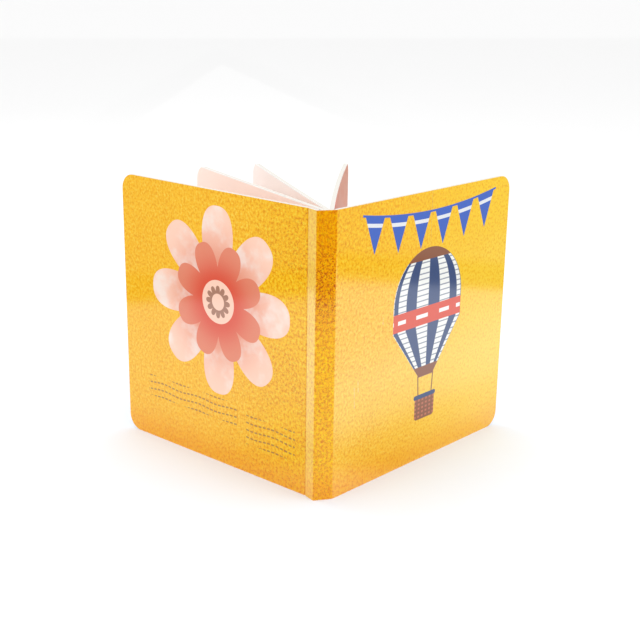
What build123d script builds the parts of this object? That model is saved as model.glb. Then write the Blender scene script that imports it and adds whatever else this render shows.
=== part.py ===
"""A board book standing on its foot, part open, with its leaves fanned.

X runs along the width of the spine, Y into the book and Z up. The origin is at the foot of
the spine, in the middle of its outer face. All sizes are in millimetres and degrees. An angle
is the direction of a board seen from above, from +X towards +Y, so a closed board stands at 90.
"""

import os
from math import cos, radians, sin, tan

from build123d import *

# Overall sizes
BOOK_HEIGHT = 152.0
COVER_REACH = 146.8
CORNER_RADIUS = 8.8

# Board: one printed sheet wraps the book, and folded sheets glued back to back make the leaves
COVER_SHEET = 0.75
PAGE_SHEET = 1.05
COVER_BOARD = COVER_SHEET + PAGE_SHEET
LEAF_BOARD = 2 * PAGE_SHEET

# Spine, from outer corner to outer corner, and the space left round the edge of each cover
SPINE_WIDTH = 10.2
HINGE_CLEARANCE = 0.3

# Score of the back cover, a shallow groove that the board bends at
SCORE_OFFSET = 7.4
SCORE_RADIUS = 0.7
SCORE_DEPTH = 0.25

# How the covers stand
FRONT_ANGLE = 32.5
STRIP_ANGLE = 109.1
BACK_ANGLE = 124.1

# How the leaves stand: direction at the fold, and how far each one bows over its length
BACK_LEAF_ANGLE = 105.8
BACK_LEAF_BOW = -0.9
MIDDLE_LEAF_ANGLE = 93.2
MIDDLE_LEAF_BOW = -1.6
FRONT_LEAF_ANGLE = 73.0
FRONT_LEAF_BOW = -3.4

# The open covers draw the folds of the leaves a little to the front of the spine
LEAF_SHIFT = 0.75


def heading(angle):
    """Unit vector of a direction seen from above."""
    return Vector(cos(radians(angle)), sin(radians(angle)))


# Hinge centres. Each lies in the middle of its cover's thickness, where the outer faces of the
# cover and the spine run into a round of half that thickness.
edge_radius = COVER_BOARD / 2
front_setback = edge_radius * tan(radians(FRONT_ANGLE / 2))
back_setback = edge_radius * tan(radians((180 - STRIP_ANGLE) / 2))
front_pivot = Vector(SPINE_WIDTH / 2 - front_setback, edge_radius)
back_pivot = Vector(back_setback - SPINE_WIDTH / 2, edge_radius)
knuckle_radius = edge_radius + HINGE_CLEARANCE


def flat_board(start, length):
    """Upright board from one point along +X, as thick as a cover."""
    return Pos(start.X + length / 2, start.Y, BOOK_HEIGHT / 2) * Box(
        length, COVER_BOARD, BOOK_HEIGHT
    )


def round_outer_corners(board):
    """Round the top and bottom corner of the fore edge, which lies furthest along X."""
    fore_edge = board.faces().sort_by(Axis.X)[-1]
    return fillet(fore_edge.edges().sort_by(SortBy.LENGTH)[:2], CORNER_RADIUS)


def hinge_edge():
    """The rounded edge that a cover turns on."""
    return Pos(0, 0, BOOK_HEIGHT / 2) * Cylinder(edge_radius, BOOK_HEIGHT)


def front_board():
    """Front cover, flat from its hinge to its fore edge."""
    board = round_outer_corners(flat_board(Vector(0, 0), COVER_REACH - front_setback))
    return Location(front_pivot) * Rotation(0, 0, FRONT_ANGLE) * (board + hinge_edge())


def back_board():
    """Back cover, with a narrow strip by the spine and the rest of it bent out at the score."""
    bend = BACK_ANGLE - STRIP_ANGLE
    score = Vector(SCORE_OFFSET - back_setback, edge_radius)
    # Past the score both sides run on to the line where their inner faces meet
    mitre = COVER_BOARD * tan(radians(bend / 2))
    strip = flat_board(Vector(0, 0), score.X + mitre)
    panel = round_outer_corners(
        flat_board(Vector(-mitre, -edge_radius), COVER_REACH - SCORE_OFFSET + mitre)
    )
    turn = Location(score) * Rotation(0, 0, bend)
    groove_centre = score + Vector(0, SCORE_RADIUS - SCORE_DEPTH)
    groove = Pos(groove_centre.X, groove_centre.Y, BOOK_HEIGHT / 2) * Cylinder(
        SCORE_RADIUS, BOOK_HEIGHT
    )
    board = hinge_edge() + strip + turn * panel - groove
    return Location(back_pivot) * Rotation(0, 0, STRIP_ANGLE) * board


def spine_panel():
    """Spine of the wrap, between the rounded edges of the covers."""
    left = back_pivot.X + knuckle_radius
    right = front_pivot.X - knuckle_radius
    return Pos((left + right) / 2, COVER_SHEET / 2, BOOK_HEIGHT / 2) * Box(
        right - left, COVER_SHEET, BOOK_HEIGHT
    )


def leaf(place, angle, bow):
    """One leaf of two glued sheets. Place counts leaves from the middle one, back to front."""
    fold = Vector(LEAF_SHIFT + place * LEAF_BOARD, COVER_SHEET + PAGE_SHEET)
    start = fold - heading(angle) * (fold.Y / sin(radians(angle)))
    with BuildPart() as sheet:
        with BuildSketch():
            with BuildLine():
                if bow:
                    JernArc((0, 0), (1, 0), COVER_REACH / abs(radians(bow)), bow)
                else:
                    Line((0, 0), (COVER_REACH, 0))
            trace(line_width=LEAF_BOARD)
        extrude(amount=BOOK_HEIGHT)
    return Location(start) * Rotation(0, 0, angle) * round_outer_corners(sheet.part)


def page_block():
    """The fanned leaves, joined by the folds that seat on the inside of the spine."""
    left = back_pivot.X + knuckle_radius
    right = front_pivot.X - knuckle_radius
    folds = Pos((left + right) / 2, COVER_SHEET + PAGE_SHEET / 2, BOOK_HEIGHT / 2) * Box(
        right - left, PAGE_SHEET, BOOK_HEIGHT
    )
    block = (
        folds
        + leaf(-1, BACK_LEAF_ANGLE, BACK_LEAF_BOW)
        + leaf(0, MIDDLE_LEAF_ANGLE, MIDDLE_LEAF_BOW)
        + leaf(1, FRONT_LEAF_ANGLE, FRONT_LEAF_BOW)
    )
    below_seat = Pos(0, COVER_SHEET - SPINE_WIDTH / 2, BOOK_HEIGHT / 2) * Box(
        2 * SPINE_WIDTH, SPINE_WIDTH, 2 * BOOK_HEIGHT
    )
    knuckle = Pos(0, 0, BOOK_HEIGHT / 2) * Cylinder(knuckle_radius, 2 * BOOK_HEIGHT)
    return block - below_seat - Location(front_pivot) * knuckle - Location(back_pivot) * knuckle


os.makedirs("parts", exist_ok=True)
export_step(spine_panel(), "parts/spine.step")
export_step(page_block(), "parts/pages.step")
export_step(front_board(), "parts/front_cover.step")
export_step(back_board(), "parts/back_cover.step")
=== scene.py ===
"""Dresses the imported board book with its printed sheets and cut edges, and sets the stage.

The file is laid out as a Blender add-on and is run as a script. Lengths are in metres, in the
frame of the CAD: X along the width of the spine, Y into the book, Z up, with the origin at the
foot of the spine in the middle of its outer face. An angle is the direction of a board seen from
above, from +X towards +Y. Prints are laid out in millimetres on the flat sheet.
"""

from math import atan2, cos, degrees, pi, radians, sin, tan

import bmesh
import bpy
from mathutils import Matrix, Vector


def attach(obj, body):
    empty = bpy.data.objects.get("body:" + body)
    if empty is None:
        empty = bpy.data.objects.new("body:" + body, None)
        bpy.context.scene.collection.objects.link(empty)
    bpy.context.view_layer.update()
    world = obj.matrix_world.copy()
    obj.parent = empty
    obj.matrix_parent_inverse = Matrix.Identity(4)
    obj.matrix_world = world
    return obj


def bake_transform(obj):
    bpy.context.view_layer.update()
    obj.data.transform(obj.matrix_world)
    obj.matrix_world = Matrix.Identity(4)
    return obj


bl_info = {
    "name": "Board book",
    "version": (1, 0, 0),
    "blender": (4, 5, 0),
    "location": "View3D > Sidebar > Board book",
    "description": "Printed sheets, cut board edges and a plain stage for a standing board book",
    "category": "Object",
}

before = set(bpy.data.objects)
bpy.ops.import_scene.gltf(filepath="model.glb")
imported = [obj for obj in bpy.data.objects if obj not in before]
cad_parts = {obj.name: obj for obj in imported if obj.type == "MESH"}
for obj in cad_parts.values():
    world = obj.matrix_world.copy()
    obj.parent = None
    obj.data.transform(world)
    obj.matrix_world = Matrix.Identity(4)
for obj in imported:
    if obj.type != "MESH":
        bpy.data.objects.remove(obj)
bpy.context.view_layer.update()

MM = 0.001

# Sizes of the boards, as the CAD has them
HEIGHT = 152.0 * MM
REACH = 146.8 * MM
CORNER_RADIUS = 8.8 * MM
LEAF_BOARD = 2.1 * MM
COVER_BOARD = 1.8 * MM
EDGE_RADIUS = COVER_BOARD / 2
SPINE_HALF = 5.1 * MM
FRONT_ANGLE = 32.5
STRIP_ANGLE = 109.1
BACK_ANGLE = 124.1
SCORE_OFFSET = 7.4 * MM
SCORE_RADIUS = 0.7 * MM
SCORE_DEPTH = 0.25 * MM
LEAF_SHIFT = 0.75 * MM
# Place of each leaf from the middle one, its direction at the fold and its bow
LEAVES = ((-1, 105.8, -0.9), (0, 93.2, -1.6), (1, 73.0, -3.4))

# The two edges of the spine, and the lines that the covers turn on, seen from above
FRONT_CORNER = Vector((SPINE_HALF, 0))
BACK_CORNER = Vector((-SPINE_HALF, 0))
FRONT_SETBACK = EDGE_RADIUS * tan(radians(FRONT_ANGLE / 2))
BACK_SETBACK = EDGE_RADIUS * tan(radians((180 - STRIP_ANGLE) / 2))
FRONT_PIVOT = Vector((SPINE_HALF - FRONT_SETBACK, EDGE_RADIUS))
BACK_PIVOT = Vector((BACK_SETBACK - SPINE_HALF, EDGE_RADIUS))

# The two cover prints meet here on the spine. The front one turns round the front edge of the
# spine in a wider bend than the board does, and has a nick in its top edge.
SPINE_MIDDLE = 0.19 * MM
FRONT_BEND = 3.2 * MM
NICK_OFFSET = 21.8 * MM

# Edges of the white table that the covers mirror, and the width of the dark band past them
TABLE_RIGHT = 0.434
TABLE_LEFT = -0.395
TABLE_FRONT = -0.35
TABLE_SLANT = 0.3
TABLE_EDGE = 0.09


def linear(*screen):
    """A colour from its 0 to 255 screen values, as Blender's nodes take it."""
    shares = [value / 255 for value in screen]
    return (*(s / 12.92 if s <= 0.04045 else ((s + 0.055) / 1.055) ** 2.4 for s in shares), 1.0)


def number_property(name, description, default, low, high, **kind):
    """A number setting, with its unit or subtype."""
    return bpy.props.FloatProperty(
        name=name, description=description, default=default, min=low, max=high, **kind
    )


def length_property(name, description, default, low, high):
    """A length setting, with its values in millimetres."""
    return number_property(name, description, default * MM, low * MM, high * MM, unit="LENGTH")


def angle_property(name, description, default):
    """An angle setting, with its default in degrees."""
    return number_property(name, description, radians(default), -pi, pi, subtype="ANGLE")


def colour_property(name, description, *screen):
    """A colour setting with an alpha of 1, with its default in screen values."""
    return bpy.props.FloatVectorProperty(
        name=name, description=description, subtype="COLOR", size=4, min=0.0, max=1.0,
        default=linear(*screen),
    )


class BoardBookSheets(bpy.types.PropertyGroup):
    """Thickness and wear of the printed sheets."""

    cover_film: length_property("Cover print", "Thickness of the laminated print", 0.15, 0.05, 0.4)
    page_film: length_property("Page print", "Thickness of the print on a page", 0.06, 0.02, 0.1)
    nick_depth: length_property("Nick", "Depth of the nick in the front print", 0.55, 0.0, 1.5)
    rub: number_property("Rub", "How far the edges are rubbed", 0.4, 0.0, 1.0, subtype="FACTOR")


class BoardBookInks(bpy.types.PropertyGroup):
    """Colours of the prints and the board."""

    gold: colour_property("Gold", "Golden ground of the cover", 243, 184, 34)
    gold_light: colour_property("Light gold", "Light streaks of the cover", 242, 208, 76)
    gold_dark: colour_property("Dark gold", "Dark streaks of the cover", 224, 146, 2)
    fleck: colour_property("Fleck", "Red-brown flecks of the cover", 172, 76, 12)
    blue: colour_property("Blue", "Bunting on the front cover", 62, 98, 186)
    denim: colour_property("Denim", "Dark stripes of the balloon", 66, 82, 120)
    white: colour_property("White", "White ink and light stripes", 240, 240, 234)
    red: colour_property("Red", "Belt of the balloon and small marks", 216, 84, 62)
    brown: colour_property("Brown", "Basket and dark marks", 138, 88, 64)
    salmon: colour_property("Salmon", "Dark part of the petals", 222, 132, 104)
    peach: colour_property("Peach", "Light part of the petals", 247, 203, 180)
    page: colour_property("Page", "Pale ground of the pages", 255, 241, 233)
    gutter: colour_property("Gutter", "Page tint near the fold", 255, 232, 219)
    rose: colour_property("Rose", "Deep ground of the last leaf", 214, 150, 124)
    board: colour_property("Board", "White board at the cut edges", 219, 216, 209)


class BoardBookStage(bpy.types.PropertyGroup):
    """Camera, floor and light."""

    lens: number_property("Lens", "Focal length in mm on a 36 mm sensor", 64.92, 10.0, 300.0)
    camera_place: bpy.props.FloatVectorProperty(
        name="Camera", description="Where the camera stands", subtype="TRANSLATION",
        unit="LENGTH", size=3, default=(-142.284 * MM, -524.464 * MM, 262.3 * MM),
    )
    camera_heading: angle_property("Heading", "Direction of the camera, clockwise from +Y", 14.9)
    camera_pitch: angle_property("Pitch", "How far the camera looks down", 16.92)
    camera_roll: angle_property("Roll", "Turn of the camera about its own axis", 0.84)
    floor: colour_property("Floor", "Matt pale floor", 243, 243, 243)
    floor_near: colour_property("Near floor", "Floor round the book", 235, 241, 249)
    sky: number_property("Sky", "Strength of the even white light all round", 1.08, 0.0, 5.0)
    softbox: number_property("Softbox", "Watts of the large light overhead", 4.4, 0.0, 200.0)
    fill: number_property("Fill", "Watts of the light at the front right", 2.0, 0.0, 200.0)
    back_light: number_property("Back light", "Watts of the light behind the leaves", 1.6, 0.0, 200.0)


# Node building


class Field:
    """A number, vector or colour that varies over a surface. Arithmetic on one adds Math nodes."""

    def __init__(self, socket):
        self.socket = socket
        self.tree = socket.id_data

    def __add__(self, other):
        return calc("ADD", self, other)

    def __sub__(self, other):
        return calc("SUBTRACT", self, other)

    def __rsub__(self, other):
        return calc("SUBTRACT", other, self)

    def __mul__(self, other):
        return calc("MULTIPLY", self, other)

    def __truediv__(self, other):
        return calc("DIVIDE", self, other)

    def __rtruediv__(self, other):
        return calc("DIVIDE", other, self)

    def __abs__(self):
        return calc("ABSOLUTE", self)


def plug(sockets, values):
    """Links sockets, picked by name or number, to fields, or sets their values."""
    for name, value in values.items():
        if isinstance(value, Field):
            value.tree.links.new(value.socket, sockets[name])
        else:
            sockets[name].default_value = value


def add(tree, kind, inputs=None, **settings):
    """A shader node with its settings made and its inputs plugged."""
    made = tree.nodes.new("ShaderNode" + kind)
    for name, value in settings.items():
        setattr(made, name, value)
    plug(made.inputs, inputs or {})
    return made


def calc(operation, *values):
    """The result of a Math node."""
    tree = next(value.tree for value in values if isinstance(value, Field))
    made = add(tree, "Math", dict(enumerate(values)), operation=operation)
    return Field(made.outputs[0])


def most(first, second):
    """The greater of two numbers. Of two masks, where one of them is 1."""
    return calc("MAXIMUM", first, second)


def least(first, second):
    """The lesser of two numbers."""
    return calc("MINIMUM", first, second)


def length_of(x, y):
    """Length of the vector with these two parts."""
    return calc("SQRT", x * x + y * y)


def vector(operation, place, other):
    """A place with a vector added, subtracted or multiplied part by part."""
    made = add(place.tree, "VectorMath", {0: place, 1: other}, operation=operation)
    return Field(made.outputs["Vector"])


def parts_of(place):
    """The X, Y and Z of a place."""
    return [Field(part) for part in add(place.tree, "SeparateXYZ", {0: place}).outputs]


def noise(place, scale, detail=2.0, rough=0.5):
    """The value of a Noise texture."""
    inputs = {"Vector": place, "Scale": scale, "Detail": detail, "Roughness": rough}
    return Field(add(place.tree, "TexNoise", inputs).outputs["Fac"])


def paint(mask, under, over, mode="MIX"):
    """One colour laid over another where the mask is 1."""
    inputs = {0: mask, 6: under, 7: over}
    made = add(mask.tree, "Mix", inputs, data_type="RGBA", blend_type=mode)
    return Field(made.outputs[2])


def tint(mask, tone, red, green, blue):
    """A colour multiplied by another where the mask is 1."""
    return paint(mask, tone, (red, green, blue, 1), "MULTIPLY")


def step(value, low, high, bottom=0.0, top=1.0):
    """Bottom up to low and top from high on, smooth between. With high below low it falls."""
    ends = (low, high, bottom, top) if high > low else (high, low, top, bottom)
    inputs = dict(enumerate((value, *ends)))
    made = add(value.tree, "MapRange", inputs, interpolation_type="SMOOTHSTEP")
    return Field(made.outputs["Result"])


def band(value, middle, half, soft=0.1):
    """Mask of the values within half of a middle one, with soft edges."""
    return step(abs(value - middle), half + soft, half - soft)


INK_EDGE = 0.1
# Pale yellow for the painted reflection haze on the covers
PAINTED_HAZE = (1.0, 0.92, 0.36, 1.0)
# Light gold for the painted light on the front cover
PAINTED_LIGHT_GOLD = linear(246, 207, 60)
CENTRE = {"Centre": (0, 0, 0), "Turn": 0.0}


def inked(past):
    """Ink up to an outline, from how far a place is past it."""
    return step(past, INK_EDGE, -INK_EDGE)


def new_group(name, inputs, outputs):
    """A shader node group over a place, with what it is given and what it puts out."""
    tree = bpy.data.node_groups.new(name, "ShaderNodeTree")
    inputs = {"Place": (0, 0, 0), **inputs}
    for socket, default in inputs.items():
        kind = "Float" if isinstance(default, float) else "Vector" if len(default) == 3 else "Color"
        made = tree.interface.new_socket(name=socket, in_out="INPUT", socket_type="NodeSocket" + kind)
        made.default_value = default
    for socket in outputs:
        kind = "Color" if socket == "Colour" else "Float"
        tree.interface.new_socket(name=socket, in_out="OUTPUT", socket_type="NodeSocket" + kind)
    source = tree.nodes.new("NodeGroupInput")
    given = {socket: Field(source.outputs[socket]) for socket in inputs}
    return given, tree.nodes.new("NodeGroupOutput").inputs


def use(group, place, **values):
    """What a group puts out at a place. Underscores in the names of inputs stand for spaces."""
    inputs = {"Place": place, **{name.replace("_", " "): value for name, value in values.items()}}
    made = add(place.tree, "Group", node_tree=bpy.data.node_groups[group])
    plug(made.inputs, inputs)
    return {output.name: Field(output) for output in made.outputs}


def from_centre(given):
    """X and Y of a place seen from a turned centre."""
    shifted = vector("SUBTRACT", given["Place"], given["Centre"])
    inputs = {"Vector": shifted, "Angle": given["Turn"]}
    made = add(shifted.tree, "VectorRotate", inputs, rotation_type="Z_AXIS", invert=True)
    return parts_of(Field(made.outputs[0]))[:2]


def make_disc_group():
    """Ink inside an ellipse."""
    given, out = new_group("Ink disc", {**CENTRE, "Half Width": 1.0, "Half Height": 1.0}, ("Mask",))
    x, y = from_centre(given)
    past = length_of(x / given["Half Width"], y / given["Half Height"]) - 1.0
    plug(out, {"Mask": inked(past * given["Half Width"])})


def make_bar_group():
    """Ink inside a rounded bar, and how far a place is past its outline."""
    inputs = {**CENTRE, "Half Width": 1.0, "Half Height": 1.0, "Corner": 0.3}
    given, out = new_group("Ink bar", inputs, ("Mask", "Past"))
    x, y = from_centre(given)
    over_x = most(abs(x) - (given["Half Width"] - given["Corner"]), 0.0)
    over_y = most(abs(y) - (given["Half Height"] - given["Corner"]), 0.0)
    past = length_of(over_x, over_y) - given["Corner"]
    plug(out, {"Mask": inked(past), "Past": past})


def make_star_groups():
    """Ink inside a star and inside a flower, cut in between the points by Depth."""
    for name in ("Ink star", "Ink flower"):
        inputs = {**CENTRE, "Radius": 10.0, "Points": 5.0, "Depth": 0.5}
        given, out = new_group(name, inputs, ("Mask", "Share"))
        x, y = from_centre(given)
        share = length_of(x, y) / given["Radius"]
        turns = calc("ARCTAN2", x, y) / (2 * pi)
        # From 0 on a point to 1 midway between two points
        between = calc("PINGPONG", turns * given["Points"], 0.5) * 2.0
        if name == "Ink flower":
            past = share - (1.0 - calc("POWER", between, 2.6) * given["Depth"])
        else:
            # Each side runs straight from a point to the notch beside it
            half = pi / given["Points"]
            notch = 1.0 - given["Depth"]
            turn = between * half
            ahead = share * calc("COSINE", turn)
            aside = share * calc("SINE", turn)
            run = 1.0 - notch * calc("COSINE", half)
            past = aside * run + (ahead - 1.0) * (notch * calc("SINE", half))
        plug(out, {"Mask": inked(past * given["Radius"]), "Share": share})


def make_gold_group(inks):
    """The golden ground of the cover, with painted light, shade and reflections laid over the print. X
    runs along the sheet from the middle of the spine.
    """
    inputs = {"Ground": inks.gold, "Light": inks.gold_light, "Dark": inks.gold_dark, "Fleck": inks.fleck}
    given, out = new_group("Golden print", inputs, ("Colour", "Film"))
    place = given["Place"]
    x, y, _ = parts_of(place)
    from_middle = abs(x)
    spine = SPINE_HALF / MM
    score = -spine - SCORE_OFFSET / MM
    on_spine = band(x, 0.0, spine, 0.25)
    on_front = step(x, spine - 0.25, spine + 0.25)
    on_strip = step(x, score - 0.3, score + 0.3) * step(x, 0.3 - spine, -0.3 - spine)
    upright = vector("MULTIPLY", place, (1.0, 0.8, 1.0))
    grain = noise(upright, 0.75, 3.0, 0.62)
    fine = noise(vector("ADD", upright, (41.0, 17.0, 5.0)), 1.5, 2.0, 0.6)
    cloud = noise(vector("ADD", place, (11.0, 71.0, 9.0)), 0.05, 3.0, 0.55)
    # Painted light: the front cover grows lighter towards its fore edge, as the light from the front
    # right falls on it
    tone = paint(on_front * step(x, 15.0, 140.0, 0.1, 0.75), given["Ground"], PAINTED_LIGHT_GOLD)
    # The grain is strongest on the spine and fades towards the fore edges
    strength = step(from_middle, 12.0, 110.0, 1.0, 0.65) * step(x, 0.0, 10.0, 1.0, 0.8)
    strength = most(strength, on_spine)
    tone = paint(step(grain, 0.51, 0.36) * strength, tone, given["Dark"])
    tone = paint(step(grain, 0.50, 0.66) * strength, tone, given["Light"])
    # Soft clouds turn the ground warmer
    tone = tint(step(cloud, 0.42, 0.66, top=0.3), tone, 0.98, 0.9, 0.66)
    # The back cover is deeper near the spine, and the strip beside the spine is paler with a painted
    # reflection haze
    tone = tint(step(x, -75.0, -18.0) * step(x, spine, -spine), tone, 0.98, 0.97, 0.42)
    tone = paint(on_strip * step(y, 5.0, 60.0, 0.14, 0.2), tone, PAINTED_HAZE)
    # Painted reflection: the front cover is paler below the middle, where it mirrors the pale table, and
    # deeper at its top, where it doesn't
    tone = tint(on_front * step(y, 95.0, 140.0), tone, 0.99, 0.97, 0.4)
    pale = step(y, 90.0, 50.0, top=0.14) * step(y, 20.0, 42.0)
    tone = paint(on_front * pale, tone, PAINTED_HAZE)
    # Painted shade: the foot is deepest of all, where the shaded floor at the foot of the book is
    # mirrored
    tone = tint(step(y, 22.0, 2.0), tone, 0.98, 0.8, 0.35)
    # The spine is darker than the covers, partly in its print and partly as painted shade, since it
    # faces the dark front of the room. Its lower half is paler, a painted reflection of the pale floor.
    pressed = paint(step(y, 120.0, 72.0), (0.88, 0.68, 0.02, 1), (0.96, 0.92, 0.05, 1))
    tone = paint(on_spine, tone, pressed, "MULTIPLY")
    # Flecks gather on the spine, and in clouds beside it
    crowd = step(from_middle, 8.0, 90.0, 0.5, 0.1) * step(cloud, 0.42, 0.62, 0.3, 1.0)
    crowd = crowd * step(x, 0.0, 10.0, 1.0, 0.4) * (1.0 - on_strip * 0.7)
    rust = step(y, 85.0, 105.0) * step(y, 142.0, 122.0)
    spine_crowd = on_spine * (rust * 0.55 + 0.42)
    fleck = most(step(fine, 0.53, 0.66) * crowd, step(fine, 0.50, 0.62) * spine_crowd)
    tone = paint(fleck, tone, given["Fleck"])
    # Painted shade along the score, where the board bends into its groove
    tone = tint(band(x, score, 0.4, 0.3) * 0.55, tone, 0.84, 0.66, 0.4)
    # The clear film is thickest on the front and on the strip beside the spine
    film = step(x, score - 0.3, score + 0.3, 0.65, 1.0)
    film = film * (1.0 - on_spine * step(y, 30.0, 80.0, 0.5, 0.65))
    plug(out, {"Colour": tone, "Film": film})


def make_page_group(inks):
    """The pale ground of a spread, warmer towards the fold at X 0, partly in print and partly as painted
    shade and warm bounce between the leaves.
    """
    inputs = {"Ground": inks.page, "Gutter": inks.gutter}
    given, out = new_group("Page print", inputs, ("Colour",))
    place = given["Place"]
    drifted = noise(place, 0.03) * 22.0 + abs(parts_of(place)[0])
    # Warmer towards the fold: partly print, partly painted shade and warm bounce between the leaves
    tone = paint(step(drifted, 88.0, 8.0), given["Ground"], given["Gutter"])
    tooth = step(noise(place, 2.4), 0.4, 0.7, top=0.1)
    plug(out, {"Colour": tint(tooth, tone, 0.94, 0.88, 0.84)})


def make_laminate_group():
    """The clear film over a print: faint handling smears, and a surface that isn't quite flat."""
    inputs = {"Smooth": 0.2, "Smeared": 0.34}
    given, out = new_group("Laminate", inputs, ("Roughness", "Height"))
    place = given["Place"]
    smear = noise(vector("MULTIPLY", place, (0.05, 0.11, 1.0)), 1.0, 3.0, 0.6)
    span = given["Smeared"] - given["Smooth"]
    rough = step(smear, 0.42, 0.7) * span + given["Smooth"]
    height = noise(place, 1.3, 1.0) * 0.12 + noise(place, 0.11, 1.0)
    plug(out, {"Roughness": rough, "Height": height})


def make_rub_group():
    """Wear along the outline of a sheet, where the ink is rubbed off in small spots."""
    inputs = {"Half Width": 1.0, "Rub": 0.4}
    given, out = new_group("Rubbed outline", inputs, ("Mask", "Rim"))
    middle = HEIGHT / 2 / MM
    past = use(
        "Ink bar", given["Place"], Centre=(0, middle, 0), Half_Width=given["Half Width"],
        Half_Height=middle, Corner=CORNER_RADIUS / MM,
    )["Past"]
    reach = noise(given["Place"], 1.1, 3.0, 0.65) * 2.2 - 1.25
    worn = step(past + reach, -0.35, 0.1) * given["Rub"]
    plug(out, {"Mask": worn, "Rim": step(past, -0.5, -0.3)})


def make_board_group(inks):
    """White board at a cut edge, with pressed fibres and a little grey dust."""
    given, out = new_group("Cut board", {"Board": inks.board}, ("Colour", "Height"))
    place = given["Place"]
    fibre = noise(vector("MULTIPLY", place, (1.0, 1.0, 3.0)), 1.8, 3.0, 0.6)
    dust = noise(place, 0.35, 3.0, 0.6)
    tone = tint(step(fibre, 0.5, 0.72, top=0.3), given["Board"], 0.84, 0.82, 0.78)
    tone = tint(step(dust, 0.55, 0.75, top=0.14), tone, 0.8, 0.77, 0.72)
    plug(out, {"Colour": tone, "Height": fibre})


def make_groups(inks):
    """Every node group that the materials share."""
    make_disc_group()
    make_bar_group()
    make_star_groups()
    make_gold_group(inks)
    make_page_group(inks)
    make_laminate_group()
    make_rub_group()
    make_board_group(inks)


# Prints. Each function lays its inks over the tone that a press holds.


class Press:
    """Lays inks on a flat sheet. Turns are in degrees."""

    def __init__(self, place, inks):
        self.place = place
        self.x, self.y, _ = parts_of(place)
        self.inks = inks
        self.tone = None

    def lay(self, mask, ink):
        """Lays a colour, or an ink by its name, over the tone where the mask is 1."""
        self.tone = paint(mask, self.tone, getattr(self.inks, ink) if isinstance(ink, str) else ink)

    def disc(self, x, y, half_width, half_height=None, turn=0.0):
        """Mask of an ellipse."""
        return use(
            "Ink disc", self.place, Centre=(x, y, 0), Turn=radians(turn), Half_Width=half_width,
            Half_Height=half_height or half_width,
        )["Mask"]

    def bar(self, x, y, half_width, half_height, corner=0.3, turn=0.0):
        """Mask of a rounded bar."""
        return use(
            "Ink bar", self.place, Centre=(x, y, 0), Turn=radians(turn), Half_Width=half_width,
            Half_Height=half_height, Corner=corner,
        )["Mask"]

    def rays(self, kind, x, y, radius, points, depth, turn=0.0):
        """Mask of a star or a flower, and the share of its radius that a place is at."""
        made = use(
            "Ink " + kind, self.place, Centre=(x, y, 0), Turn=radians(turn), Radius=radius,
            Points=points, Depth=depth,
        )
        return made["Mask"], made["Share"]


def print_bunting(press):
    """A string of blue pennants across the top of the front cover."""
    left, right, hang = 24.0, 138.0, 141.0
    sag, pitch, half_flag, drop = 5.0, 19.0, 7.6, 19.5
    middle, reach = (left + right) / 2, (right - left) / 2
    share = (press.x - middle) / reach
    below = share * share * sag + hang - press.y
    off = abs((calc("FRACT", (press.x - left) / pitch) - 0.5) * pitch)
    flag = inked(off - (1.0 - below / drop) * half_flag) * step(below, -INK_EDGE, INK_EDGE)
    string = band(below, 0.0, 0.6, 0.15)
    in_row = band(press.x, middle, reach)
    press.lay(in_row * most(flag, string), "blue")
    press.lay(flag * band(below, 4.6, 1.0) * in_row * 0.85, "white")


def print_balloon(press):
    """A striped hot-air balloon with a woven basket."""
    centre, middle, radius = 80.0, 92.0, 29.5
    mouth, half_mouth, taper = 49.0, 6.0, 0.8
    cap, belt = 115.0, 84.0
    x, y = press.x, press.y
    height = y - middle
    dome = calc("SQRT", most(radius * radius - height * height, 0.0))
    cone = (y - mouth) * taper + half_mouth
    # The dome gives the width above its widest part, and below it the cone where it is narrower
    lower = calc("LESS_THAN", y, middle)
    half = lower * least(cone, radius) + most(least(dome, cone), 0.01) * (1.0 - lower)
    skin = inked(abs(x - centre) - half) * step(y, mouth - INK_EDGE, mouth + INK_EDGE)
    share = most(least((x - centre) / half, 0.999), -0.999)
    gore = calc("ARCSINE", share) * (9 / pi) + 9.5
    white = step(calc("PINGPONG", gore, 1.0), 0.46, 0.54)
    press.lay(skin, "denim")
    press.lay(skin * white, "white")
    # Thin lines across the white gores, a red belt and a dark cap and skirt
    press.lay(skin * white * step(calc("FRACT", y / 3.0), 0.72, 0.8) * 0.7, "denim")
    press.lay(skin * band(y, belt, 5.0), "red")
    press.lay(skin * band(y, belt, 1.1) * white, "white")
    ends = most(step(y, cap - 0.1, cap + 0.1), step(y, mouth + 6.1, mouth + 5.9))
    press.lay(skin * ends, "brown")
    for side in (-1, 1):
        press.lay(press.bar(centre + side * 6.2, 43.5, 0.45, 6.5, 0.2, side * -4), "brown")
    basket = press.bar(centre, 31.0, 8.6, 7.0, 2.0)
    press.lay(basket, "brown")
    weave = step(calc("FRACT", y / 2.4), 0.4, 0.6) * step(calc("PINGPONG", x, 1.6), 0.5, 1.1)
    press.lay(basket * weave * 0.55, "salmon")
    press.lay(press.bar(centre, 37.4, 9.6, 1.3, 1.2), "denim")


def print_flower(press):
    """A large flower in salmon and peach for the back cover."""
    x, y = -76.0, 92.0
    inks = press.inks
    petals, share = press.rays("flower", x, y, 52.0, 8.0, 0.5)
    petal = paint(step(share, 0.25, 0.95), inks.salmon, inks.peach)
    wash = step(noise(press.place, 0.07, 3.0, 0.55), 0.42, 0.7, top=0.5)
    press.lay(petals, paint(wash, petal, inks.white))
    petals, share = press.rays("flower", x, y, 33.0, 8.0, 0.42, 22.5)
    press.lay(petals, paint(step(share, 0.3, 0.95), inks.red, inks.salmon))
    press.lay(press.disc(x, y, 12.0), "peach")
    press.lay(press.rays("flower", x, y, 9.0, 12.0, 0.35)[0] * 0.8, "brown")
    press.lay(press.disc(x, y, 4.6), "peach")


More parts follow.
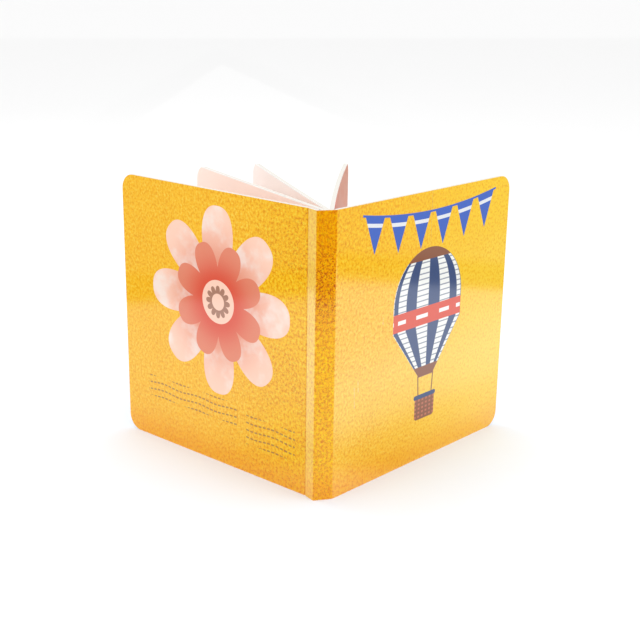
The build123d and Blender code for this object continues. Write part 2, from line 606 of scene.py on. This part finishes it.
def print_stitches(press):
    """Rows of fine dashes, like running stitches, low on the back cover."""
    row = calc("PINGPONG", calc("SINE", press.x * 0.22) * 0.5 + press.y, 2.1)
    dash = calc("PINGPONG", calc("FRACT", press.x / 3.1), 0.5)
    blocks = most(press.bar(-98.0, 31.4, 36.0, 6.3, 0.1), press.bar(-38.0, 25.1, 18.0, 8.4, 0.1))
    press.lay(step(row, 0.52, 0.36) * step(dash, 0.13, 0.19) * blocks * 0.72, "brown")


def print_scuffs(press):
    """Three faint light scuffs on the front cover."""
    broken = step(noise(press.place, 0.9), 0.42, 0.6, top=0.4)
    for x, y, length, turn in ((20.6, 51.5, 6.0, 2), (42.1, 88.3, 2.2, -6), (23.4, 57.0, 3.2, 4)):
        press.lay(press.bar(x, y, 0.16, length, 0.1, turn) * broken, "white")


def print_ball(press, x):
    """A striped ball."""
    for half, ink in ((34.0, "blue"), (24.0, "white"), (12.0, "red")):
        press.lay(press.disc(x, 78.0, half, 34.0), ink)
    press.lay(press.disc(x, 110.0, 5.0, 2.0), "brown")


def print_star(press, x):
    """A yellow star with a light middle."""
    whole, share = press.rays("star", x, 76.0, 44.0, 5.0, 0.52)
    press.lay(whole, paint(step(share, 0.2, 0.9), press.inks.gold_light, press.inks.gold))


def print_apple(press, x):
    """A red apple with a stalk and a leaf."""
    press.lay(most(press.disc(x - 12, 70, 24, 30, 8), press.disc(x + 12, 70, 24, 30, -8)), "red")
    press.lay(press.disc(x - 18, 80, 5, 10, 20) * 0.6, "peach")
    press.lay(press.bar(x + 1, 103, 1.6, 9, 1.2, -8), "brown")
    press.lay(press.disc(x + 13, 108, 11, 4.6, 24), "denim")


def print_moon(press, x):
    """A crescent moon and two small stars."""
    press.lay(press.disc(x, 78, 34) * (1.0 - press.disc(x + 15, 84, 28)), "denim")
    for dx, y, radius in ((14, 92, 8), (26, 68, 5)):
        press.lay(press.rays("star", x + dx, y, radius, 5.0, 0.5)[0], "gold")


def print_daisy(press, x):
    """A flower with six round petals on a stem."""
    press.lay(press.bar(x, 44, 1.8, 26, 1.6), "denim")
    press.lay(press.disc(x + 11, 42, 11, 4.5, 28), "denim")
    press.lay(press.rays("flower", x, 92, 32, 6.0, 0.5)[0], "salmon")
    press.lay(press.disc(x, 92, 10), "gold")


def print_blocks(press, x):
    """Three stacked toy blocks."""
    for dx, y, ink in ((-15, 46, "blue"), (15, 46, "gold"), (-1, 77, "red")):
        press.lay(press.bar(x + dx, y, 14.5, 14.5, 2.5), ink)
        press.lay(press.disc(x + dx, y, 7.5), "white")


def print_cloud(press, x):
    """A cloud over three drops."""
    cloud = press.disc(x, 92, 17)
    for dx, y, radius in ((-19, 86, 12), (19, 86, 13)):
        cloud = most(cloud, press.disc(x + dx, y, radius))
    press.lay(cloud, "white")
    for dx, y in ((-16, 60), (0, 54), (16, 60)):
        press.lay(press.disc(x + dx, y, 3.4, 6.0), "blue")


def print_sun(press, x):
    """A sun with short rays."""
    press.lay(press.rays("star", x, 78, 42, 14.0, 0.3)[0], "gold")
    press.lay(press.disc(x, 78, 24), "gold_light")


# The middle of a page, and what is printed on the left and right page of each spread
PAGE_MIDDLE = 76.0
SPREAD_PRINTS = (
    (print_ball, print_star),
    (print_apple, print_moon),
    (print_daisy, print_blocks),
    (print_cloud, print_sun),
)


# Materials

IN_MM = (1 / MM, 1 / MM, 1 / MM)


def new_material(name):
    """A material with one Principled shader, its node tree and the inputs of the shader."""
    made = bpy.data.materials.new(name)
    made.use_nodes = True
    tree = made.node_tree
    tree.nodes.clear()
    shader = add(tree, "BsdfPrincipled")
    add(tree, "OutputMaterial", {"Surface": Field(shader.outputs[0])})
    return made, tree, shader.inputs


def print_material(name, inks):
    """A new material for a sheet, with its shader and the press that prints it."""
    made, tree, shader = new_material(name)
    sheet_map = Field(add(tree, "UVMap", uv_map="sheet").outputs[0])
    return made, shader, Press(vector("MULTIPLY", sheet_map, IN_MM), inks)


def give_surface(shader, colour, roughness, height, depth):
    """Colour, roughness and fine relief of a shader."""
    bump = add(height.tree, "Bump", {"Height": height, "Distance": depth, "Strength": 1.0})
    normal = Field(bump.outputs[0])
    plug(shader, {"Base Color": colour, "Roughness": roughness, "Normal": normal})


def cover_material(name, prints, inks, rub):
    """Golden laminated print with its motifs."""
    made, shader, press = print_material(name, inks)
    gold = use("Golden print", press.place)
    press.tone = gold["Colour"]
    for lay in prints:
        lay(press)
    worn = use("Rubbed outline", press.place, Half_Width=(SPINE_HALF + REACH) / MM, Rub=rub)
    press.lay(worn["Mask"], "board")
    film = use("Laminate", press.place, Smooth=0.34, Smeared=0.44)
    give_surface(shader, press.tone, film["Roughness"], film["Height"], 0.012 * MM)
    plug(shader, {"Coat Weight": gold["Film"], "Coat Roughness": 0.1, "Coat IOR": 1.75})
    plug(shader, {"Specular IOR Level": 0.0})
    return made


def spread_material(name, prints, grounds, gutter, inks, rub):
    """Satin print of two facing pages, each with its own ground."""
    made, shader, press = print_material(name, inks)
    ground = paint(step(press.x, -0.2, 0.2), *grounds)
    press.tone = use("Page print", press.place, Ground=ground, Gutter=gutter)["Colour"]
    for lay, x in zip(prints, (-PAGE_MIDDLE, PAGE_MIDDLE)):
        lay(press, x)
    worn = use("Rubbed outline", press.place, Half_Width=REACH / MM, Rub=rub)
    press.lay(worn["Mask"], "board")
    # The die leaves a narrow white rim round the pages
    press.lay(worn["Rim"], (1.0, 1.0, 0.98, 1.0))
    film = use("Laminate", press.place, Smooth=0.42, Smeared=0.54)
    give_surface(shader, press.tone, film["Roughness"], film["Height"], 0.01 * MM)
    return made


def board_material(name, outward=None, corner=0.0, roughness=0.75, relief=0.03 * MM):
    """White cut board. A side that faces outward carries the golden print, from its corner on."""
    made, tree, shader = new_material(name)
    coordinates = add(tree, "TexCoord").outputs
    place = vector("MULTIPLY", Field(coordinates["Object"]), IN_MM)
    cut = use("Cut board", place)
    tone = cut["Colour"]
    if outward is not None:
        inputs = {0: Field(coordinates["Normal"]), 1: (*outward, 0)}
        facing = add(tree, "VectorMath", inputs, operation="DOT_PRODUCT").outputs["Value"]
        x, y, z = parts_of(place)
        run = y * outward.x - (x - corner) * outward.y + corner
        flat = Field(add(tree, "CombineXYZ", {"X": run, "Y": z}).outputs[0])
        tone = paint(step(Field(facing), 0.5, 0.6), tone, use("Golden print", flat)["Colour"])
    give_surface(shader, tone, roughness, cut["Height"], relief)
    return made


# Outlines of the boards, seen from above


def heading(angle):
    """Unit vector of a direction seen from above."""
    return Vector((cos(radians(angle)), sin(radians(angle))))


def left_of(direction):
    """The direction a quarter turn to the left, seen from above."""
    return Vector((-direction.y, direction.x))


def arc(centre, radius, start, end, steps):
    """Points along an arc, both ends included. Angles in degrees."""
    turns = (start + (end - start) * number / steps for number in range(steps + 1))
    return [centre + radius * heading(turn) for turn in turns]


def along(start, end, *places):
    """Points on a line at distances in millimetres from its start, then its end."""
    direction = (end - start).normalized()
    return [start + direction * (place * MM) for place in places] + [end]


def spine_points(*places):
    """Points on the outer face of the spine, in millimetres from the middle of the board."""
    return [Vector((place * MM, 0)) for place in places]


# Directions of the front cover, of the strip beside the spine and of the back cover past its
# score, the way that the outer face of each looks, and the fore edges
FRONT, STRIP, BACK = (heading(angle) for angle in (FRONT_ANGLE, STRIP_ANGLE, BACK_ANGLE))
FRONT_OUT, STRIP_OUT, BACK_OUT = -left_of(FRONT), left_of(STRIP), left_of(BACK)
SCORE = BACK_CORNER + SCORE_OFFSET * STRIP
FRONT_FORE = FRONT_CORNER + REACH * FRONT
BACK_FORE = SCORE + (REACH - SCORE_OFFSET) * BACK


def front_cover_outside():
    """Outer face from the middle of the spine round the hinge edge to the fore edge."""
    setback = FRONT_BEND * tan(radians(FRONT_ANGLE / 2))
    bend = arc(Vector((SPINE_HALF - setback, FRONT_BEND)), FRONT_BEND, -90, FRONT_ANGLE - 90, 8)
    nick = (NICK_OFFSET - setback) / MM
    cover = along(bend[-1], FRONT_FORE, 0.3, 1.0, 3.0, nick - 0.7, nick, nick + 0.5, 60, 110)
    return spine_points(SPINE_MIDDLE / MM, 2.2, 3.4, 3.7, 3.95) + bend + cover


def back_cover_outside():
    """Outer face from the fore edge through the score and round the hinge edge to the spine."""
    centre = SCORE + STRIP_OUT * (SCORE_RADIUS - SCORE_DEPTH)
    ends = []
    for direction, side in ((BACK, 1), (STRIP, -1)):
        depth = (centre - SCORE).dot(left_of(direction))
        half = (SCORE_RADIUS**2 - depth**2) ** 0.5
        reach = (centre - SCORE).dot(direction) + side * half
        spot = SCORE + direction * reach - centre
        ends.append(degrees(atan2(spot.y, spot.x)))
    groove = arc(centre, SCORE_RADIUS, *ends, 6)
    bend = arc(BACK_PIVOT, EDGE_RADIUS, STRIP_ANGLE + 90, 270, 8)
    cover = along(BACK_FORE, groove[0], 0, 30, 80, 132, 137.5)
    hinge = along(groove[-1], bend[0], 1.0, 3.0, 5.0)
    spine = spine_points(-4.2, -3.9, -3.6, -3.3, -1.8, SPINE_MIDDLE / MM)
    return cover + groove[1:] + hinge + bend[1:] + spine


def leaf_face(number, side, reach):
    """Point on a face of a leaf at a distance along its middle line. Side 1 is the left face."""
    place, angle, bow = LEAVES[number]
    fold = Vector((LEAF_SHIFT + place * LEAF_BOARD, COVER_BOARD))
    start = fold - heading(angle) * (fold.y / sin(radians(angle)))
    bend = radians(bow) / REACH
    turn = bend * reach
    local = Vector((sin(turn) / bend, (1 - cos(turn)) / bend))
    local += Vector((-sin(turn), cos(turn))) * (side * LEAF_BOARD / 2)
    return start + Matrix.Rotation(radians(angle), 2) @ local


def leaf_run(number, side, low):
    """Points on a face of a leaf from near its fold to its fore edge."""
    columns = [place * MM for place in (10, 22, 38, 56, 74, 92, 110, 128)]
    reaches = (low, low + 1 * MM, low + 3 * MM, *columns, REACH)
    return [leaf_face(number, side, reach) for reach in reaches]


def fold_between(first, last, sink):
    """A soft fold from one point to another, sunk towards the spine."""
    middle = (first + last) / 2 + Vector((0, -sink))
    shares = [number / 6 for number in range(1, 6)]
    return [(1 - s) ** 2 * first + 2 * s * (1 - s) * middle + s**2 * last for s in shares]


def spread_paths():
    """Faces that each folded sheet lies on, from its left fore edge to its right one, and the
    ends of the two folds between a leaf and a cover."""
    mitre = COVER_BOARD * tan(radians((BACK_ANGLE - STRIP_ANGLE) / 2))
    score_inside = SCORE - STRIP_OUT * COVER_BOARD + STRIP * mitre
    back_fore = BACK_FORE - BACK_OUT * COVER_BOARD
    back_foot = BACK_PIVOT - STRIP_OUT * EDGE_RADIUS + STRIP * (1.5 * MM)
    back_inside = [back_fore, *along(back_fore, score_inside, 30, 80), back_foot]
    front_foot = FRONT_PIVOT - FRONT_OUT * EDGE_RADIUS + FRONT * (0.5 * MM)
    front_inside = along(front_foot, FRONT_FORE - FRONT_OUT * COVER_BOARD, 0, 1, 4, 30, 80)
    first_leaf = leaf_run(0, 1, 2.45 * MM)
    last_leaf = leaf_run(2, -1, 2.45 * MM)
    paths = [back_inside + fold_between(back_foot, first_leaf[0], 0.7 * MM) + first_leaf]
    for number in (0, 1):
        # The fold starts where the two leaves stand this far apart
        opening = 0.35 * MM
        low = 2.0 * MM
        while (leaf_face(number, -1, low) - leaf_face(number + 1, 1, low)).length < opening:
            low += 0.05 * MM
        left = leaf_run(number, -1, low)[::-1]
        right = leaf_run(number + 1, 1, low)
        paths.append(left + fold_between(left[-1], right[0], 0.15 * MM) + right)
    paths.append(last_leaf[::-1] + fold_between(last_leaf[0], front_foot, 0.5 * MM) + front_inside)
    return paths, (first_leaf[0], back_foot), (last_leaf[0], front_foot)


# Modelling of the sheets


def select_parts(sheet, kind, test):
    """Selects the vertices or edges that pass a test, and nothing else."""
    bpy.ops.mesh.select_mode(type=kind)
    bpy.ops.mesh.select_all(action="DESELECT")
    mesh = bmesh.from_edit_mesh(sheet.data)
    for part in mesh.verts if kind == "VERT" else mesh.edges:
        if test(part):
            part.select_set(True)
    mesh.select_flush_mode()
    bmesh.update_edit_mesh(sheet.data)


def near(vertex, point):
    """Whether a vertex stands over a point seen from above."""
    return (vertex.co.xy - point).length < 0.02 * MM


def lay_out(sheet, path, zero, start):
    """Maps the sheet flat: distance along it, which is start at the path's point zero, and height."""
    lengths = [0.0]
    for here, there in zip(path, path[1:]):
        lengths.append(lengths[-1] + (there - here).length)
    layer = sheet.data.uv_layers.new(name="sheet")
    for loop in sheet.data.loops:
        place = sheet.data.vertices[loop.vertex_index].co
        spots = []
        for here, there, length in zip(path, path[1:], lengths):
            run = there - here
            share = min(1.0, max(0.0, (place.xy - here).dot(run) / run.length_squared))
            spots.append(((place.xy - here - run * share).length, length + run.length * share))
        layer.data[loop.index].uv = (start + min(spots)[1] - lengths[zero], place.z)


def faces_left(sheet, path):
    """Whether the sheet's largest face looks to the left of the path."""
    mesh = bmesh.from_edit_mesh(sheet.data)
    widest = max(mesh.faces, key=lambda face: face.calc_area())
    middle = widest.calc_center_median().xy
    here, there = min(zip(path, path[1:]), key=lambda ends: (middle - (ends[0] + ends[1]) / 2).length)
    return widest.normal.xy.dot(left_of(there - here)) > 0


def make_sheet(name, path, face_left, thickness, finishes, zero, start=0.0, dent=None):
    """A thin sheet that stands on a path. Its ends have rounded corners, apart from one at zero."""
    middle, run = (path[0] + path[1]) / 2, path[1] - path[0]
    bpy.ops.mesh.primitive_plane_add(
        size=1, location=(*middle, HEIGHT / 2), rotation=(pi / 2, 0, atan2(run.y, run.x))
    )
    sheet = bpy.context.active_object
    sheet.name = sheet.data.name = name
    sheet.scale = (run.length, HEIGHT, 1)
    bpy.ops.object.transform_apply()
    bpy.ops.object.mode_set(mode="EDIT")
    select_parts(sheet, "EDGE", lambda edge: all(near(v, path[1]) for v in edge.verts))
    for here, there in zip(path[1:], path[2:]):
        bpy.ops.mesh.extrude_region_move(TRANSFORM_OT_translate={"value": (*(there - here), 0)})
    bpy.ops.mesh.select_all(action="SELECT")
    bpy.ops.mesh.normals_make_consistent(inside=False)
    if faces_left(sheet, path) != face_left:
        bpy.ops.mesh.flip_normals()
    if dent:
        select_parts(sheet, "VERT", lambda v: near(v, dent[0]) and v.co.z > HEIGHT / 2)
        bpy.ops.transform.translate(value=(0, 0, -dent[1]))
    ends = [path[number] for number in (0, len(path) - 1) if number != zero]
    select_parts(sheet, "VERT", lambda v: any(near(v, end) for end in ends))
    bpy.ops.mesh.bevel(
        offset=CORNER_RADIUS, offset_type="OFFSET", segments=14, profile=0.5, affect="VERTICES"
    )
    bpy.ops.object.mode_set(mode="OBJECT")
    lay_out(sheet, path, zero, start)
    for finish in finishes:
        sheet.data.materials.append(finish)
    solid = sheet.modifiers.new("Thickness", "SOLIDIFY")
    solid.thickness = thickness
    solid.offset = 1.0
    solid.use_even_offset = True
    solid.material_offset = 1
    solid.material_offset_rim = 1
    bpy.ops.object.modifier_apply(modifier=solid.name)
    bpy.ops.object.shade_smooth_by_angle(angle=radians(32))
    return sheet


class SheetOperator:
    """What the operators of the printed sheets share."""

    bl_options = {"REGISTER", "UNDO"}

    def settings(self, context):
        """The sizes and colours of the book and the white paper at the cut rim of a sheet."""
        inks = context.scene.board_book_inks
        if "Cut board" not in bpy.data.node_groups:
            make_groups(inks)
        if "Sheet rim" not in bpy.data.materials:
            board_material("Sheet rim", roughness=0.6, relief=0.01 * MM)
        return context.scene.board_book_sheets, inks, bpy.data.materials["Sheet rim"]


class BOARDBOOK_OT_cover_prints(SheetOperator, bpy.types.Operator):
    """Lay the laminated golden print over the spine and both covers."""

    bl_idname = "board_book.cover_prints"
    bl_label = "Cover prints"

    def execute(self, context):
        sizes, inks, rim = self.settings(context)
        path = front_cover_outside()
        prints = (print_bunting, print_balloon, print_scuffs)
        finish = cover_material("Front cover print", prints, inks, sizes.rub)
        nick = (FRONT_CORNER + FRONT * NICK_OFFSET, sizes.nick_depth)
        sheet = make_sheet(
            "cover_print_front", path, False, sizes.cover_film, (finish, rim), 0, SPINE_MIDDLE, nick
        )
        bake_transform(sheet)
        path = back_cover_outside()
        finish = cover_material("Back cover print", (print_flower, print_stitches), inks, sizes.rub)
        last = len(path) - 1
        sheet = make_sheet(
            "cover_print_back", path, False, sizes.cover_film, (finish, rim), last, SPINE_MIDDLE
        )
        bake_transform(sheet)
        return {"FINISHED"}


def across_fold(fold, angle, margin):
    """Ends of the bend of a fold, square to the line halfway between its leaf and its cover."""
    across = heading(angle)
    gap = (fold[1] - fold[0]).dot(across)
    return fold[0] + across * margin, fold[0] + across * (gap - margin)


class BOARDBOOK_OT_page_prints(SheetOperator, bpy.types.Operator):
    """Lay the four folded prints on the leaves and inside the covers."""

    bl_idname = "board_book.page_prints"
    bl_label = "Page prints"

    def execute(self, context):
        sizes, inks, rim = self.settings(context)
        paths, back_fold, front_fold = spread_paths()
        # Each spread's left and right ground, and its tint near the fold
        tones = [((inks.page, inks.page), inks.gutter) for _ in paths]
        tones[0] = ((inks.gutter, inks.gutter), inks.gutter)
        tones[-1] = ((inks.rose, inks.peach), inks.salmon)
        for number, (path, prints, tone) in enumerate(zip(paths, SPREAD_PRINTS, tones), 1):
            finish = spread_material(f"Spread {number} print", prints, *tone, inks, sizes.rub)
            fold = min(range(len(path)), key=lambda n: path[n].y)
            sheet = make_sheet(f"inner_print_{number}", path, True, sizes.page_film, (finish, rim), fold)
            if number == 1:
                turn = (STRIP_ANGLE + LEAVES[0][1]) / 2 + 90
                start, end = across_fold(back_fold, turn, 0.15 * MM)
                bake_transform(sheet)
            elif number == len(paths):
                turn = (FRONT_ANGLE + LEAVES[-1][1]) / 2 - 90
                start, end = across_fold(front_fold, turn, 0.05 * MM)
                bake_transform(sheet)
            else:
                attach(sheet, "block")
        return {"FINISHED"}


class BOARDBOOK_OT_boards(SheetOperator, bpy.types.Operator):
    """Give the boards of the CAD their white cut edges."""

    bl_idname = "board_book.boards"
    bl_label = "Boards"

    def execute(self, context):
        self.settings(context)
        corner = SPINE_HALF / MM
        finishes = {
            "spine": board_material("Spine board", Vector((0, -1))),
            "pages": board_material("Leaf board"),
            "front_cover": board_material("Front board", FRONT_OUT, corner),
            "back_cover": board_material("Back board", BACK_OUT, -corner),
        }
        for name, finish in finishes.items():
            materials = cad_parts[name].data.materials
            materials.clear()
            materials.append(finish)
        return {"FINISHED"}


def object_place(tree):
    """Place in the frame of the object."""
    return Field(add(tree, "TexCoord").outputs["Object"])


def make_floor(stage):
    """A wide matt floor at the foot of the book."""
    bpy.ops.mesh.primitive_circle_add(vertices=96, radius=30.0, fill_type="NGON")
    floor = bpy.context.active_object
    floor.name = "floor"
    made, tree, shader = new_material("Floor")
    place = object_place(tree)
    x, y, _ = parts_of(place)
    # The floor is cooler round the book, against the golden light that its covers throw
    tone = paint(step(length_of(x, y), 0.8, 0.3), stage.floor, stage.floor_near)
    tone = tint(step(noise(place, 60.0), 0.3, 0.7, top=0.03), tone, 0.9, 0.9, 0.9)
    plug(shader, {"Base Color": tone, "Roughness": 0.9, "Specular IOR Level": 0.1})
    floor.data.materials.append(made)


def make_card():
    """A card on the floor that only reflections see: the dark edge of a white table, and what
    lies beyond it, with the shade at the foot of the book."""
    made, tree, shader = new_material("Reflection card")
    x, y, _ = parts_of(object_place(tree))
    sides = most(x - TABLE_RIGHT, y * TABLE_SLANT + TABLE_LEFT - x)
    past = most(sides, TABLE_FRONT - y)
    beyond = step(sides, TABLE_EDGE, TABLE_EDGE + 0.02)
    tone = paint(beyond, (0.03, 0.03, 0.03, 1), (0.3, 0.3, 0.3, 1))
    # How far a place is outside the nearer of the two covers
    outside = most(
        (x - SPINE_HALF) * FRONT_OUT.x + y * FRONT_OUT.y,
        (x + SPINE_HALF) * BACK_OUT.x + y * BACK_OUT.y,
    )
    shade = step(outside, 0.11, 0.0, top=0.75) * step(y, 0.09, 0.01) * step(abs(x), 0.02, 0.06)
    plug(shader, {"Base Color": tone, "Roughness": 1.0, "Specular IOR Level": 0.0})
    plug(shader, {"Alpha": most(step(past, 0.0, 0.004), shade)})
    bpy.ops.mesh.primitive_plane_add(size=8, location=(0, 0, 1 * MM))
    card = bpy.context.active_object
    card.name = "reflection_card"
    bpy.ops.object.transform_apply()
    card.data.materials.append(made)
    card.visible_camera = card.visible_diffuse = card.visible_shadow = False


def make_light(scene, stage):
    """Even white light from all round, a large softbox overhead and two soft lights."""
    world = bpy.data.worlds.new("Studio")
    world.use_nodes = True
    plug(world.node_tree.nodes["Background"].inputs, {"Color": (1, 1, 1, 1), "Strength": stage.sky})
    scene.world = world
    aim = Vector((0, 0.05, 0.07))
    for name, size, place in (
        ("softbox", 1.4, (-0.1, -0.25, 1.35)),
        ("fill", 0.9, (1.0, -0.85, 0.75)),
        ("back_light", 0.6, (-0.7, 0.95, 0.6)),
    ):
        lamp = bpy.data.lights.new(name, "AREA")
        lamp.shape = "SQUARE"
        lamp.size = size
        lamp.energy = getattr(stage, name)
        light = bpy.data.objects.new(name, lamp)
        scene.collection.objects.link(light)
        light.location = place
        light.rotation_euler = (aim - light.location).to_track_quat("-Z", "Y").to_euler()
        light.visible_camera = light.visible_glossy = False


def make_camera(scene, stage):
    """The camera at the place and angle of the photograph."""
    lens = bpy.data.cameras.new("camera")
    lens.lens = stage.lens
    lens.sensor_width = 36
    lens.clip_start = 0.01
    lens.clip_end = 100
    camera = bpy.data.objects.new("camera", lens)
    scene.collection.objects.link(camera)
    turn = Matrix.Rotation(-stage.camera_heading, 4, "Z")
    turn @= Matrix.Rotation(pi / 2 - stage.camera_pitch, 4, "X")
    turn @= Matrix.Rotation(stage.camera_roll, 4, "Z")
    camera.matrix_world = Matrix.Translation(stage.camera_place) @ turn
    scene.camera = camera


class BOARDBOOK_OT_stage(bpy.types.Operator):
    """Set the pale floor, the soft light and the camera."""

    bl_idname = "board_book.stage"
    bl_label = "Stage"

    def execute(self, context):
        stage = context.scene.board_book_stage
        make_floor(stage)
        make_card()
        make_light(context.scene, stage)
        make_camera(context.scene, stage)
        context.scene.view_settings.view_transform = "Standard"
        context.scene.view_settings.look = "None"
        return {"FINISHED"}


class BOARDBOOK_PT_panel(bpy.types.Panel):
    """The pieces of the board book in the order they are made."""

    bl_label = "Board book"
    bl_idname = "BOARDBOOK_PT_panel"
    bl_space_type = "VIEW_3D"
    bl_region_type = "UI"
    bl_category = "Board book"

    def draw(self, context):
        for name in GROUPS:
            group = getattr(context.scene, name)
            box = self.layout.box()
            for setting in group.__annotations__:
                box.prop(group, setting)
        for operator in OPERATORS:
            self.layout.operator(operator.bl_idname)


OPERATORS = (
    BOARDBOOK_OT_boards,
    BOARDBOOK_OT_cover_prints,
    BOARDBOOK_OT_page_prints,
    BOARDBOOK_OT_stage,
)
GROUPS = {
    "board_book_sheets": BoardBookSheets,
    "board_book_inks": BoardBookInks,
    "board_book_stage": BoardBookStage,
}


def register():
    """Registers the settings, the operators and the panel."""
    for name, group in GROUPS.items():
        bpy.utils.register_class(group)
        setattr(bpy.types.Scene, name, bpy.props.PointerProperty(type=group))
    for item in (*OPERATORS, BOARDBOOK_PT_panel):
        bpy.utils.register_class(item)


def unregister():
    """Takes away what register added."""
    for item in (BOARDBOOK_PT_panel, *reversed(OPERATORS)):
        bpy.utils.unregister_class(item)
    for name, group in GROUPS.items():
        delattr(bpy.types.Scene, name)
        bpy.utils.unregister_class(group)


def main():
    """Makes the whole scene."""
    register()
    for operator in OPERATORS:
        getattr(bpy.ops.board_book, operator.bl_idname.split(".")[1])()


if __name__ == "__main__":
    main()
